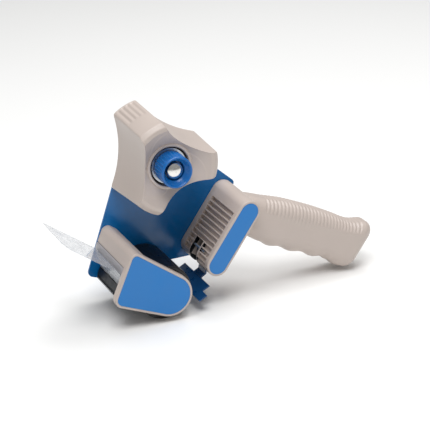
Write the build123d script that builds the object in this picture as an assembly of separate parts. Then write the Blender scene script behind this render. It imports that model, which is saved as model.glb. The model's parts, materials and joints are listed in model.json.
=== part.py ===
from build123d import *
import math
import os

# Pistol-grip tape dispenser for 50 mm packing tape on a 3-inch core, with no roll on it.
# Every piece is modelled on the open face of the side plate: x points towards the handle,
# y up, z out of the plate towards the open side, with the hub axis at the origin.
# The finished pieces are then stood up, with +Z up and the open side facing -Y.

# ---- Driving dimensions, millimetres and degrees ----
PLATE = 1.5                    # thickness of the steel side plate
CORE_RADIUS = 38.0             # the hub's lobes fill a 76 mm core
HUB_FRONT_RADIUS = 34.8        # the lobes taper towards the open side
HUB_BACK = 1.5
HUB_FRONT = 51.7
FLUTE_BACK_RADIUS = 22.0       # floor of the hollows between the lobes, at the plate
FLUTE_FRONT_RADIUS = 18.6      # and at the open side
DISH_RADIUS = 29.0             # rim of the dish in the hub's front
DISH_FLOOR = 44.4              # height of the dish where it meets the collar round the knob
COLLAR_RADIUS = 16.4
LOBE_ANGLE = 116.9             # direction of the first lobe
LOBE_HALF = 14.5
WALL = 2.2                     # moulded wall thickness
AXLE_RADIUS = 4.0
THREAD_RADIUS = 3.0
RUNNING_GAP = 0.05
POCKET_RADIUS = 14.5           # well in the hub that holds the brake spring
POCKET_FLOOR = 30.0
POCKET_TOP = 41.0
BOSS_RADIUS = 8.0              # boss that holds the hub's bush
BUSH_RADIUS = 6.0
BUSH_TOP = 27.5
KNOB_RADIUS = 11.6
KNOB_BACK = 43.2
KNOB_FRONT = 58.75
INSERT_RADIUS = 5.6            # brass thread insert inside the knob
INSERT_TOP = 49.2
CAP_RADIUS = 5.7               # domed nut on the end of the axle
CAP_RISE = 1.9
CAP_TOP = 56.4
SCREW_RADIUS = 1.5
ROLLER = (-6.5, -93.0)         # centre of the applicator roller
ROLLER_RADIUS = 20.0
ROLLER_BACK = 2.5
ROLLER_FRONT = 50.0
COVER_FRONT = 58.0
COVER_THICK = 2.5
COVER_CORNERS = [(-31.2, -60.6, 4.9), (-40.8, -88.9, 6.5), (-4.9, -92.3, 16.0)]
BLOCK_LEAN = 56.3              # direction of the handle block's long axis
BLOCK_FACE = 64.8              # distance from the hub axis to the block's louvred face
BLOCK_RADIUS = 8.5
BLOCK_LOW = -46.8              # centres of its two round ends, along its long axis
BLOCK_HIGH = -2.2
BLOCK_FRONT = 49.0
LOUVRE_PITCH = 3.85
FLAP_LENGTH = 48.0
FLAP_THICK = 0.5
FLAP_DIRECTION = 146.0
PIN_RADIUS = 1.4
GRIP_MIDDLE = 25.0             # middle of the grip, measured out from the plate
PIN_SEAT = (72.0, -46.0)       # hinge pin of the hold-back plate, across and along the block

PARTS = {}


def add(name, shape):
    """Keep one named piece."""
    PARTS[name] = shape


def polar(radius, degrees, centre=(0.0, 0.0)):
    """Point at a radius and direction from a centre."""
    angle = math.radians(degrees)
    return (centre[0] + radius * math.cos(angle), centre[1] + radius * math.sin(angle))


def disc(radius, low, high, centre=(0.0, 0.0)):
    """Round bar along z."""
    bar = Cylinder(radius, high - low, align=(Align.CENTER, Align.CENTER, Align.MIN))
    return Pos(centre[0], centre[1], low) * bar


def ring(outer, inner, low, high, centre=(0.0, 0.0)):
    """Tube along z."""
    return disc(outer, low, high, centre) - disc(inner, low - 1, high + 1, centre)


def slab(points, low, high):
    """Prism along z on a straight-sided outline."""
    face = make_face(Polyline(*points, close=True))
    return extrude(Pos(0, 0, low) * face, high - low, dir=(0, 0, 1))


def wrapped(circles, low, high, inset=0.0):
    """Plate whose outline is a band pulled tight round circles given as x, y, radius."""
    edges = []
    for x, y, radius in circles:
        edges.append(Pos(x, y) * Edge.make_circle(radius - inset))
    return extrude(Pos(0, 0, low) * make_hull(edges), high - low, dir=(0, 0, 1))


def turned(profile):
    """Solid of revolution about the hub axis, from radius and height points."""
    face = make_face(Polyline(*[(r, 0, z) for r, z in profile], close=True))
    return revolve(face, Axis.Z)


def on_block(across, along):
    """Point on the handle block: distance from the hub axis across it, and along it."""
    angle = math.radians(BLOCK_LEAN)
    x = across * math.sin(angle) + along * math.cos(angle)
    y = -across * math.cos(angle) + along * math.sin(angle)
    return (x, y)


def block_box(across, along, low, high):
    """Box lined up with the handle block, from ranges across and along it."""
    corners = [(across[0], along[0]), (across[1], along[0]),
               (across[1], along[1]), (across[0], along[1])]
    return slab([on_block(a, b) for a, b in corners], low, high)


def hexagon(radius, low, high, centre):
    """Hexagon head, with the radius across its corners."""
    sketch = Pos(centre[0], centre[1], low) * RegularPolygon(radius, 6)
    return extrude(sketch, high - low, dir=(0, 0, 1))


# ---- Side plate ----
PLATE_CORNERS = [(0.0, 0.0, 17.0), (65.9, -37.9, 3.4), (33.5, -86.9, 3.4), (-42.4, -90.4, 4.0)]
HANDLE_SCREWS = [on_block(73.3, 0.0), on_block(73.3, -37.5), on_block(73.3, -48.5)]
COVER_SCREW = (-31.4, -60.8)
CARRIER_SCREW = (-36.2, -82.0)


def side_plate():
    plate = wrapped(PLATE_CORNERS, -PLATE, 0)
    plate += wrapped([PLATE_CORNERS[3], (*ROLLER, 12.5)], -PLATE, 0)
    plate -= disc(AXLE_RADIUS, -3, 3)
    plate -= disc(THREAD_RADIUS, -3, 3, ROLLER)
    for centre in HANDLE_SCREWS + [COVER_SCREW, CARRIER_SCREW]:
        plate -= disc(SCREW_RADIUS, -3, 3, centre)
    add("side_plate", plate)


def screw(centre, length, head=3.0):
    """Pan-head screw driven from behind the plate, with a slot."""
    body = disc(SCREW_RADIUS, -PLATE, length, centre) + disc(head, -PLATE - 1.8, -PLATE, centre)
    slot = Pos(centre[0], centre[1], -PLATE - 1.5) * Box(0.8, 2 * head, 0.8)
    return body - slot


def plate_screws():
    add("handle_screws", Compound([screw(c, 12.0) for c in HANDLE_SCREWS]))
    add("cover_screw", screw(COVER_SCREW, 10.0))
    add("carrier_screw", screw(CARRIER_SCREW, 8.0, 2.6))


# ---- Tape hub, its axle and the tension knob ----
def lobed_face(tip, half, floor, height):
    """Three-lobed outline: a round tip on each lobe and a hollow between lobes."""
    edges = []
    for lobe in range(3):
        middle = LOBE_ANGLE + 120.0 * lobe
        start = polar(tip, middle - half)
        end = polar(tip, middle + half)
        following = polar(tip, middle + 120.0 - half)
        edges.append(ThreePointArc(start, polar(tip, middle), end))
        edges.append(ThreePointArc(end, polar(floor, middle + 60.0), following))
    return Pos(0, 0, height) * make_face(edges)


def reel_hub():
    shell = loft([lobed_face(CORE_RADIUS, LOBE_HALF, FLUTE_BACK_RADIUS, HUB_BACK),
                  lobed_face(HUB_FRONT_RADIUS, LOBE_HALF + 1.2, FLUTE_FRONT_RADIUS, HUB_FRONT)],
                 ruled=True)
    shell &= turned([(0, 0), (CORE_RADIUS + 1, 0), (CORE_RADIUS + 0.2, 10), (35.6, 45.5),
                     (34.2, 48.8), (30.5, HUB_FRONT), (0, HUB_FRONT)])
    back_inside = lobed_face(CORE_RADIUS - WALL, LOBE_HALF - 3.0, FLUTE_BACK_RADIUS - WALL,
                             HUB_BACK - 0.5)
    front_inside = lobed_face(HUB_FRONT_RADIUS - WALL, LOBE_HALF - 2.0, FLUTE_FRONT_RADIUS - WALL,
                              POCKET_TOP)
    shell -= loft([back_inside, front_inside], ruled=True)
    shell += disc(BOSS_RADIUS, HUB_BACK, POCKET_FLOOR)
    shell += disc(POCKET_RADIUS + WALL, BUSH_TOP, POCKET_TOP + 1)
    shell -= turned([(0, 60), (0, 45.0), (COLLAR_RADIUS, 45.0), (COLLAR_RADIUS + 0.2, DISH_FLOOR),
                     (DISH_RADIUS, HUB_FRONT + 0.02), (DISH_RADIUS, 60)])
    shell -= disc(POCKET_RADIUS, POCKET_FLOOR, 60.0)
    shell -= disc(BUSH_RADIUS, HUB_BACK - 1, BUSH_TOP)
    shell -= disc(AXLE_RADIUS + 0.6, HUB_BACK - 1, 40.0)
    add("reel_hub", shell)
    add("hub_bush", ring(BUSH_RADIUS, AXLE_RADIUS + RUNNING_GAP, HUB_BACK + 0.1, BUSH_TOP))
    add("brake_disc", ring(17.0, AXLE_RADIUS + 0.2, 0, 1.3))


def hub_axle():
    stud = disc(AXLE_RADIUS, -PLATE, 38.0) + disc(THREAD_RADIUS, 38.0, 53.0)
    stud += disc(8.0, -PLATE - 2.0, -PLATE)
    add("hub_axle", stud)
    coil = Helix(pitch=2.6, height=9.4, radius=9.0)
    wire = Plane(origin=coil @ 0, z_dir=coil % 0) * Circle(0.75)
    add("brake_spring", Pos(0, 0, 31.0) * sweep(wire, path=coil, is_frenet=True))
    add("pressure_washer", ring(13.0, THREAD_RADIUS + RUNNING_GAP, 41.4, 43.0))


def tension_knob():
    section = Circle(KNOB_RADIUS) - PolarLocations(KNOB_RADIUS + 0.15, 28) * Circle(0.6)
    knob = extrude(Pos(0, 0, KNOB_BACK) * section, KNOB_FRONT - KNOB_BACK, dir=(0, 0, 1))
    knob &= turned([(0, KNOB_BACK), (11.0, KNOB_BACK), (KNOB_RADIUS + 0.1, KNOB_BACK + 0.8),
                    (KNOB_RADIUS + 0.1, KNOB_FRONT - 1.2), (11.2, KNOB_FRONT - 0.4),
                    (10.6, KNOB_FRONT), (0, KNOB_FRONT)])
    knob -= turned([(0, 60), (10.2, 60), (10.2, KNOB_FRONT), (9.7, KNOB_FRONT - 0.6), (7.9, 54.4),
                    (7.2, 53.6), (7.2, INSERT_TOP), (INSERT_RADIUS, INSERT_TOP),
                    (INSERT_RADIUS, 40), (0, 40)])
    add("tension_knob", knob)
    add("knob_insert", ring(INSERT_RADIUS, THREAD_RADIUS + RUNNING_GAP, KNOB_BACK, INSERT_TOP))
    dome_radius = (CAP_RADIUS ** 2 + CAP_RISE ** 2) / (2 * CAP_RISE)
    dome = Pos(0, 0, CAP_TOP - dome_radius) * Sphere(dome_radius)
    shoulder = CAP_TOP - CAP_RISE
    cap = disc(CAP_RADIUS, 50.8, shoulder) + (dome & disc(CAP_RADIUS, shoulder, 60.0))
    add("dome_nut", cap - disc(THREAD_RADIUS, 50.0, 53.0))


# ---- Applicator roller and its cover ----
def roller():
    add("roller_tyre", ring(ROLLER_RADIUS, 14.0, ROLLER_BACK, ROLLER_FRONT, ROLLER))
    core = ring(14.0, 12.0, ROLLER_BACK, ROLLER_FRONT, ROLLER)
    core += ring(7.0, 5.0, ROLLER_BACK, ROLLER_FRONT, ROLLER)
    for spoke in range(3):
        web = Pos(9.5, 0, 26.25) * Box(6.5, 1.6, ROLLER_FRONT - ROLLER_BACK)
        core += Pos(*ROLLER, 0) * Rot(0, 0, 120.0 * spoke) * web
    add("roller_core", core)
    bore = THREAD_RADIUS + RUNNING_GAP
    bushes = [ring(5.0, bore, ROLLER_BACK, ROLLER_BACK + 8, ROLLER),
              ring(5.0, bore, ROLLER_FRONT - 8, ROLLER_FRONT, ROLLER)]
    add("roller_bushes", Compound(bushes))
    axle = disc(THREAD_RADIUS, -PLATE, COVER_FRONT - COVER_THICK, ROLLER)
    add("roller_axle", axle + hexagon(5.8, -PLATE - 3.0, -PLATE, ROLLER))
    spacers = [ring(6.0, THREAD_RADIUS, 0, ROLLER_BACK - 0.3, ROLLER),
               ring(6.0, THREAD_RADIUS, ROLLER_FRONT + 0.3, 52.0, ROLLER)]
    add("roller_spacers", Compound(spacers))


CARRIER = [(-39.6, -67.0), (-40.9, -71.0), (-37.0, -86.4), (-39.3, -92.5), (-36.4, -93.4),
           (-32.4, -86.6), (-33.6, -76.0), (-36.6, -67.0)]


def roller_cover():
    inner = COVER_FRONT - COVER_THICK
    cover = wrapped(COVER_CORNERS, inner, COVER_FRONT)
    cover -= wrapped(COVER_CORNERS, COVER_FRONT - 0.6, COVER_FRONT + 1, 1.7)
    cover += wrapped(COVER_CORNERS, 53.0, inner) - wrapped(COVER_CORNERS, 52.0, inner, 2.0)
    bridge = wrapped(COVER_CORNERS, 0, inner) - wrapped(COVER_CORNERS, -1, inner, 2.0)
    bridge &= slab([(-50, -66.4), (-34, -66.4), (-24, -62.4), (-24, -50), (-50, -50)], 0, inner)
    cover += bridge
    cover += disc(3.2, 0, 12.0, COVER_SCREW)
    cover += ring(5.5, THREAD_RADIUS, 52.0, inner, ROLLER)
    cover += slab(CARRIER, 53.0, inner) & wrapped(COVER_CORNERS, 53.0, inner)
    cover -= disc(SCREW_RADIUS, -1, 10.0, COVER_SCREW)
    cover -= disc(THREAD_RADIUS, 40.0, inner, ROLLER)
    add("roller_cover", cover)
    add("cover_inlay", wrapped(COVER_CORNERS, COVER_FRONT - 0.6, COVER_FRONT - 0.1, 1.75))


# ---- Blade, its carrier and the clear flap ----
BLADE_TOP = (-37.0, -86.4)
BLADE_DOWN = (-0.354, -0.935)
BLADE_OUT = (-0.935, 0.354)
BLADE_LENGTH = 9.3
TOOTH_PITCH = 1.8
FLAP_ROOT = (-42.0, -70.4)


def along_blade(down, out):
    """Point on the blade's section: distance down from its top edge, and out of its face."""
    x = BLADE_TOP[0] + down * BLADE_DOWN[0] + out * BLADE_OUT[0]
    y = BLADE_TOP[1] + down * BLADE_DOWN[1] + out * BLADE_OUT[1]
    return (x, y)


def blade():
    sheet = slab([along_blade(0.4, 0.05), along_blade(BLADE_LENGTH, 0.05),
                  along_blade(BLADE_LENGTH, 0.85), along_blade(0.4, 0.85)], 1.0, 52.0)
    face = Plane(origin=(*along_blade(BLADE_LENGTH, 0), 0), x_dir=(0, 0, 1),
                 z_dir=(*BLADE_OUT, 0))
    side = face.y_dir.X * BLADE_DOWN[0] + face.y_dir.Y * BLADE_DOWN[1]
    up = -math.copysign(1.0, side)
    count = int(50.4 / TOOTH_PITCH)
    for tooth in range(count + 1):
        middle = 1.3 + tooth * TOOTH_PITCH
        corners = [(middle - 0.8, -up), (middle + 0.8, -up), (middle, 2.2 * up)]
        notch = make_face(Polyline(*corners, close=True))
        sheet -= extrude(face * notch, 2.0, both=True)
    add("blade", sheet)


def blade_carrier():
    carrier = slab(CARRIER, 0, 53.0)
    carrier -= disc(SCREW_RADIUS, -1, 8.0, CARRIER_SCREW)
    rivets = []
    for height in (14.0, 39.0):
        centre = (*along_blade(3.0, -2.0), height)
        hole = Plane(origin=centre, z_dir=(*BLADE_OUT, 0))
        carrier -= hole * Cylinder(1.1, 4.1)
        rivets.append(hole * Cylinder(1.1, 4.0))
    add("blade_carrier", carrier)
    add("blade_rivets", Compound(rivets))


def clear_flap():
    foot = [(-41.05, -70.95), (-37.25, -86.0), (-37.75, -86.1), (-41.55, -71.05)]
    add("flap_foot", slab(foot, 3.0, 52.0))
    start = polar(0.9, FLAP_DIRECTION, FLAP_ROOT)
    end = polar(FLAP_LENGTH, FLAP_DIRECTION, FLAP_ROOT)
    side = polar(FLAP_THICK, FLAP_DIRECTION + 90.0)
    leaf = [start, end, (end[0] + side[0], end[1] + side[1]), (start[0] + side[0], start[1] + side[1])]
    add("clear_flap", slab(leaf, 4.0, 52.0))


# ---- Handle ----
# Sections square to the grip's own axis: distance along it, top, underside, half width, corner.
GRIP_START = (70.0, -56.0)
GRIP_LEAN = -21.8
GRIP_SECTIONS = [(-13.0, 15.2, -9.0, 11.5, 8.5), (-4.0, 16.4, -12.0, 12.0, 9.0),
                 (6.0, 17.3, -14.5, 12.5, 9.5), (20.0, 18.8, -16.4, 13.5, 10.5),
                 (32.0, 19.1, -16.5, 13.5, 10.5), (45.0, 19.0, -16.4, 13.5, 10.5),
                 (70.0, 17.4, -16.2, 13.5, 10.5), (84.0, 16.3, -19.2, 13.5, 10.5),
                 (95.0, 18.9, -19.6, 13.0, 10.0), (101.2, 17.4, -12.0, 10.5, 8.5),
                 (103.6, 12.0, 0.0, 5.5, 4.5)]


def grip(inset=0.0):
    """Tapering rounded bar, lofted through its sections."""
    along = Vector(*polar(1.0, GRIP_LEAN))
    faces = []
    for station, top, under, half, corner in GRIP_SECTIONS:
        start = Vector(*GRIP_START, GRIP_MIDDLE) + along * (station - 1.2 * inset)
        plane = Plane(origin=start, x_dir=(0, 0, 1), z_dir=along)
        lift = 1.0 if plane.y_dir.Y > 0 else -1.0
        size = 2 * inset
        outline = RectangleRounded(2 * half - size, top - under - size, corner - inset)
        faces.append(plane * Pos(0, lift * (top + under) / 2) * outline)
    return loft(faces)


def handle():
    low = on_block(BLOCK_FACE + BLOCK_RADIUS, BLOCK_LOW)
    high = on_block(BLOCK_FACE + BLOCK_RADIUS, BLOCK_HIGH)
    body = wrapped([(*low, BLOCK_RADIUS), (*high, BLOCK_RADIUS)], 0, BLOCK_FRONT)
    body += grip()
    body -= wrapped([(*on_block(73.3, -30.0), 6.0), (*on_block(73.3, -12.0), 6.0)], -1, 45.0)
    body -= grip(3.0)
    for centre in HANDLE_SCREWS:
        body -= disc(SCREW_RADIUS, -1, 12.0, centre)
    body -= wrapped([(*low, BLOCK_RADIUS - 1.7), (*high, BLOCK_RADIUS - 1.7)], BLOCK_FRONT - 0.6, 60)
    for louvre in range(12):
        along = (-7.5 - LOUVRE_PITCH * (louvre + 1), -7.5 - LOUVRE_PITCH * louvre - 1.5)
        if louvre < 8:
            body -= block_box((60, BLOCK_FACE + 1.2), along, 6.5, 44.5)
        else:
            body -= block_box((60, BLOCK_FACE + 1.2), along, 37.0, 44.5)
            if louvre < 11:
                body -= block_box((60, BLOCK_FACE + 1.2), along, 6.5, 16.0)
    body -= block_box((60, 75.0), (-52.0, -38.5), 16.8, 35.5)
    body -= block_box((60, 78.0), (-62.0, -44.0), 16.8, 30.6)
    body -= block_box((70, 84.0), (-62.0, -49.5), 16.8, 30.6)
    body -= disc(PIN_RADIUS, 13.0, 38.5, PIN)
    add("handle", body)
    add("handle_inlay", wrapped([(*low, BLOCK_RADIUS - 1.75), (*high, BLOCK_RADIUS - 1.75)],
                                BLOCK_FRONT - 0.6, BLOCK_FRONT - 0.1))


# ---- Hold-back plate behind the roller ----
PIN = on_block(*PIN_SEAT)
STRIP_TOP = (29.2, -95.2)
STRIP_ACROSS = (-0.867, -0.499)
STRIP_WIDTH = 13.4
STRIP_STEP = 6.4
STRIP_THICK = 1.2


def on_strip(across, off):
    """Point on the hold-back plate's section: distance towards the roller, and off its face."""
    x = STRIP_TOP[0] + across * STRIP_ACROSS[0] + off * STRIP_ACROSS[1]
    y = STRIP_TOP[1] + across * STRIP_ACROSS[1] - off * STRIP_ACROSS[0]
    return (x, y)


def hold_back_plate():
    strip = slab([on_strip(0, 0), on_strip(STRIP_WIDTH, 0), on_strip(STRIP_WIDTH, -STRIP_THICK),
                  on_strip(0, -STRIP_THICK)], 1.0, 46.0)
    strip += slab([on_strip(STRIP_STEP, 0), on_strip(STRIP_WIDTH, 0), on_strip(STRIP_WIDTH, -STRIP_THICK),
                   on_strip(STRIP_STEP, -STRIP_THICK)], 45.0, 54.4)
    tab = slab([on_strip(1, 0), on_strip(-4.2, 0), (PIN[0] + 0.9, PIN[1] - 1.5),
                (PIN[0] + 2.1, PIN[1] - 1.3), on_strip(-4.9, -STRIP_THICK), on_strip(1, -STRIP_THICK)],
               17.4, 30.0)
    tab -= slab([(PIN[0] - 8, PIN[1] - 5), (PIN[0] + 8, PIN[1] - 5), (PIN[0] + 8, PIN[1] + 8),
                 (PIN[0] - 8, PIN[1] + 8)], 20.4, 27.0)
    for low, high in ((17.4, 20.4), (27.0, 30.0)):
        tab += disc(PIN_RADIUS + 1.1, low, high, PIN)
    strip += tab
    strip -= disc(PIN_RADIUS + RUNNING_GAP, 10, 40, PIN)
    add("hold_back_plate", strip)
    add("hinge_pin", disc(PIN_RADIUS, 13.0, 38.5, PIN))
    wire = 0.45
    radius = PIN_RADIUS + 0.9
    bail = on_block(66.4, -44.5)
    coils = []
    for low in (20.9, 30.7):
        path = Helix(pitch=1.0, height=2.0, radius=radius)
        section = Plane(origin=path @ 0, z_dir=path % 0) * Circle(wire)
        coils.append(Pos(PIN[0], PIN[1], low + wire) * sweep(section, path=path, is_frenet=True))
    add("torsion_spring", Compound(coils))
    add("spring_bail", disc(0.8, 16.8, 35.5, bail))


# ---- Standing the dispenser up ----
UPRIGHT = Plane(origin=(0, 0, 0), x_dir=(1, 0, 0), z_dir=(0, -1, 0)).location


def lowest(name, angle):
    """Lowest height of a piece once the dispenser is turned about the hub axis."""
    turned_part = PARTS[name].moved(UPRIGHT * Location((0, 0, 0), (0, 0, angle)))
    return turned_part.bounding_box().min.Z


def tilt():
    """Angle at which the roller and the butt of the grip rest on one level."""
    angle = 0.0
    reach = 156.0
    for attempt in range(6):
        drop = lowest("roller_tyre", angle) - lowest("handle", angle)
        angle += math.degrees(math.atan2(drop, reach))
    return angle


def stand_up():
    """Turn every piece to its standing pose, over the middle of its own footprint."""
    pose = UPRIGHT * Location((0, 0, 0), (0, 0, tilt()))
    whole = Compound(list(PARTS.values())).moved(pose).bounding_box()
    middle = whole.center()
    shift = Location((-middle.X, -middle.Y, -whole.min.Z))
    return shift * pose


side_plate()
plate_screws()
reel_hub()
hub_axle()
tension_knob()
roller()
roller_cover()
blade_carrier()
blade()
clear_flap()
handle()
hold_back_plate()
PLACE = stand_up()

os.makedirs("parts", exist_ok=True)
for node, shape in PARTS.items():
    export_step(shape.moved(PLACE), "parts/" + node + ".step")
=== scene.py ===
"""Pistol-grip tape dispenser for 50 mm packing tape: the looks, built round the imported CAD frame."""
import json
import math
import bmesh
import bpy
from bpy.props import FloatProperty, FloatVectorProperty, IntProperty, PointerProperty
from mathutils import Matrix, Vector


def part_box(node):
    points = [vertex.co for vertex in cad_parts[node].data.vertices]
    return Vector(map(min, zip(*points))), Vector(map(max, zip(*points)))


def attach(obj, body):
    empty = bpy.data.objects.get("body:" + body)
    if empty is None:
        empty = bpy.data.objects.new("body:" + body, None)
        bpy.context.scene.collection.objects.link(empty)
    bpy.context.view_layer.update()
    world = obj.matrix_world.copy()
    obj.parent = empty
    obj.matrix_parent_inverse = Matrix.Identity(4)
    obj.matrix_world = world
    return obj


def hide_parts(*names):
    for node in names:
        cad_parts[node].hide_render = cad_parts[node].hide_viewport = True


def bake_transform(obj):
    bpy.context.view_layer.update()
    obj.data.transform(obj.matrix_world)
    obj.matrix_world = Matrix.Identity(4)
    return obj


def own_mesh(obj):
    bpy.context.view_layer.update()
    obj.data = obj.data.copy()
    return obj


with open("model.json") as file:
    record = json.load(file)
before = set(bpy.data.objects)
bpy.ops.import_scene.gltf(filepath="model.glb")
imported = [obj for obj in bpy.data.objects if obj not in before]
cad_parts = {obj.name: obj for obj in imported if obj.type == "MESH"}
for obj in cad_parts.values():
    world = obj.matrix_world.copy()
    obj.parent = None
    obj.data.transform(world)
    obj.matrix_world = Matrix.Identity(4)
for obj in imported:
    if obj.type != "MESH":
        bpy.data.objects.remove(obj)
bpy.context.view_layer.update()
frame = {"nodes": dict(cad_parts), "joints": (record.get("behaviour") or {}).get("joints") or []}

bl_info = {
    "name": "Tape dispenser",
    "version": (1, 0, 0),
    "blender": (4, 5, 0),
    "location": "3D View > Sidebar > Dispenser",
    "description": "Builds a pistol-grip packing tape dispenser round its CAD frame",
    "category": "Add Mesh",
}

MM = 0.001
DEGREE = math.pi / 180.0
FULL_TURN = 2.0 * math.pi

# Every piece is drawn in millimetres on the open face of the side plate: x towards the handle,
# y up, z out of the plate, with the hub axis at the origin. These points locate it on that face.
ROLLER = (-6.5, -93.0)
BLOCK_LEAN = 56.3
GRIP_START = (70.0, -56.0)
GRIP_LEAN = -21.8
GRIP_MIDDLE = 25.0
PIN_SEAT = (72.0, -46.0)
COVER_SCREW = (-31.4, -60.8)

# The blue panels lie in a seat this deep, whose edge is broken this much.
SEAT_DEPTH = 0.6
SEAT_EDGE = 0.12


def joint_place(name):
    """Place of a joint in the frame."""
    for joint in frame["joints"]:
        if joint["name"] == name:
            return Vector(joint["pos_m"])
    raise RuntimeError("the frame has no joint named " + name)


def standing_matrix():
    """From millimetres on the plate to metres in the frame, with the dispenser stood up."""
    hub = joint_place("hub_spin")
    roller = joint_place("roller_spin")
    lean = math.atan2(roller.z - hub.z, roller.x - hub.x) - math.atan2(ROLLER[1], ROLLER[0])
    turn = Matrix(((math.cos(lean), -math.sin(lean), 0.0), (0.0, 0.0, -1.0),
                   (math.sin(lean), math.cos(lean), 0.0)))
    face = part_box("side_plate")[0].y
    return Matrix.Translation((hub.x, face, hub.z)) @ turn.to_4x4() @ Matrix.Scale(MM, 4)


STAND = standing_matrix()


# ---- Sizes and colours that a user may change ----
def size(label, text, millimetres):
    """A length property."""
    return FloatProperty(name=label, description=text, default=millimetres * MM, unit="LENGTH",
                         subtype="DISTANCE", precision=5)


def colour(label, text, code):
    """A colour property, from an sRGB hex value."""
    return FloatVectorProperty(name=label, description=text, default=linear(code)[:3],
                               subtype="COLOR", size=3, min=0.0, max=1.0)


def linear(code):
    """Linear red, green, blue and alpha of an sRGB hex value."""
    channels = []
    for start in (1, 3, 5):
        value = int(code[start:start + 2], 16) / 255.0
        channels.append(value / 12.92 if value <= 0.04045 else ((value + 0.055) / 1.055) ** 2.4)
    return (*channels, 1.0)


class HubSettings(bpy.types.PropertyGroup):
    """Tape hub and tension knob"""
    core_radius: size("Core radius", "Radius over the lobes at the plate", 38.0)
    front_radius: size("Front radius", "Radius over the lobes at the open side", 34.8)
    hollow_radius: size("Hollow radius", "Floor of the hollows at the plate", 22.0)
    hollow_front: size("Front hollow radius", "Floor of the hollows at the open side", 18.6)
    edge_round: size("Edge rounding", "Rounding of the lobes' long edges", 1.1)
    groove_depth: size("Groove depth", "Depth of the grooves on the lobe tips", 0.6)
    grooves: IntProperty(name="Grooves", description="Grooves on each lobe tip", default=4, min=0, max=8)
    knob_radius: size("Knob radius", "Radius of the tension knob", 11.6)
    flutes: IntProperty(name="Flutes", description="Flutes round the knob", default=28, min=8, max=60)


class CoverSettings(bpy.types.PropertyGroup):
    """Roller cover, blade and clear flap"""
    front: size("Front height", "Height of the cover's face above the plate", 58.0)
    rim: size("Rim width", "Width of the rim round the blue panel", 1.7)
    edge: size("Edge rounding", "Rounding of the cover's front edge", 0.7)
    tooth_pitch: size("Tooth pitch", "Distance between the blade's teeth", 1.8)
    flap_length: size("Flap length", "Free length of the clear flap", 48.0)
    flap_thickness: size("Flap thickness", "Thickness of the clear flap", 0.5)


class HandleSettings(bpy.types.PropertyGroup):
    """Handle block and grip"""
    block_radius: size("Block radius", "Radius of the block's round ends", 8.5)
    block_front: size("Block height", "Height of the block above the plate", 49.0)
    louvre_pitch: size("Louvre pitch", "Distance between the louvres", 3.85)
    louvre_land: size("Louvre land", "Width of the ridge between louvres", 0.8)
    rib_pitch: size("Rib pitch", "Distance between the grip's fine ribs", 3.15)
    rib_depth: size("Rib depth", "Depth of the grip's fine ribs", 0.55)
    scallop: size("Finger scallop", "Depth of the finger scallops", 0.8)


class FinishSettings(bpy.types.PropertyGroup):
    """Colours of the finishes"""
    beige: colour("Beige ABS", "Hub, handle and cover", "#C3B6AE")
    grey: colour("Grey ABS", "Blade carrier", "#A3A0A4")
    plate_blue: colour("Plate blue", "Enamel on the side plate", "#0068AC")
    navy: colour("Navy", "Enamel on the hold-back plate", "#0B3F6E")
    panel_blue: colour("Panel blue", "Inlaid panels", "#0077C4")
    knob_blue: colour("Knob blue", "Tension knob", "#0664B0")
    rubber: colour("Rubber", "Roller tyre", "#0E0D10")
    floor: colour("Floor", "Studio floor", "#FBFBFA")


class StageSettings(bpy.types.PropertyGroup):
    """Camera and light"""
    azimuth: FloatProperty(name="Azimuth", description="Turn of the camera about the upright axis",
                           default=-23.885 * DEGREE, unit="ROTATION", subtype="ANGLE")
    elevation: FloatProperty(name="Elevation", description="Height of the camera above the horizon",
                             default=21.858 * DEGREE, unit="ROTATION", subtype="ANGLE")
    distance: size("Distance", "Camera to the middle of the dispenser", 1236.4)
    lens: FloatProperty(name="Lens", description="Focal length", default=142.62, unit="CAMERA", min=1.0)
    key_power: FloatProperty(name="Key light", description="Power of the key light", default=12.8,
                             unit="POWER", min=0.0)
    sky: FloatProperty(name="Room light", description="Strength of the even light from all round",
                       default=0.3, min=0.0)


# ---- Mesh helpers ----
def clamp(value):
    """A value kept between nothing and one."""
    return max(0.0, min(1.0, value))


def ease(share):
    """A share from nothing to one that starts and ends gently."""
    return share * share * (3.0 - 2.0 * share)


def arc(centre, radius, start, end, count):
    """Points along an arc, with angles in degrees."""
    points = []
    for step in range(count + 1):
        angle = (start + (end - start) * step / count) * DEGREE
        points.append((centre[0] + radius * math.cos(angle), centre[1] + radius * math.sin(angle)))
    return points


def band(circles, inset=0.0, steps=144):
    """Outline pulled tight round circles given as x, y, radius, anticlockwise."""
    outline = []
    before = None
    for step in range(steps + 1):
        angle = FULL_TURN * step / steps
        reach = [c[0] * math.cos(angle) + c[1] * math.sin(angle) + c[2] for c in circles]
        circle = circles[reach.index(max(reach))]
        if before is not None and circle is not before:
            run = Vector((circle[0] - before[0], circle[1] - before[1]))
            leaving = math.atan2(run.y, run.x) - math.acos((before[2] - circle[2]) / run.length)
            for x, y, radius in (before, circle):
                outline.append((x + (radius - inset) * math.cos(leaving),
                                y + (radius - inset) * math.sin(leaving)))
        if step < steps:
            outline.append((circle[0] + (circle[2] - inset) * math.cos(angle),
                            circle[1] + (circle[2] - inset) * math.sin(angle)))
        before = circle
    return outline


def lift(outline, height):
    """An outline at a height above the plate."""
    return [(x, y, height) for x, y in outline]


def skin(rings, looped=False):
    """Closed skin through rings of points: capped at its two ends, or looped back to the first ring."""
    shell = bmesh.new()
    rows = [[shell.verts.new(point) for point in ring] for ring in rings]
    last = len(rows) if looped else len(rows) - 1
    for row in range(last):
        here, there = rows[row], rows[(row + 1) % len(rows)]
        for step in range(len(here)):
            following = (step + 1) % len(here)
            shell.faces.new((here[step], here[following], there[following], there[step]))
    if not looped:
        shell.faces.new(rows[0])
        shell.faces.new(rows[-1])
    bmesh.ops.recalc_face_normals(shell, faces=shell.faces)
    return shell


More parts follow.
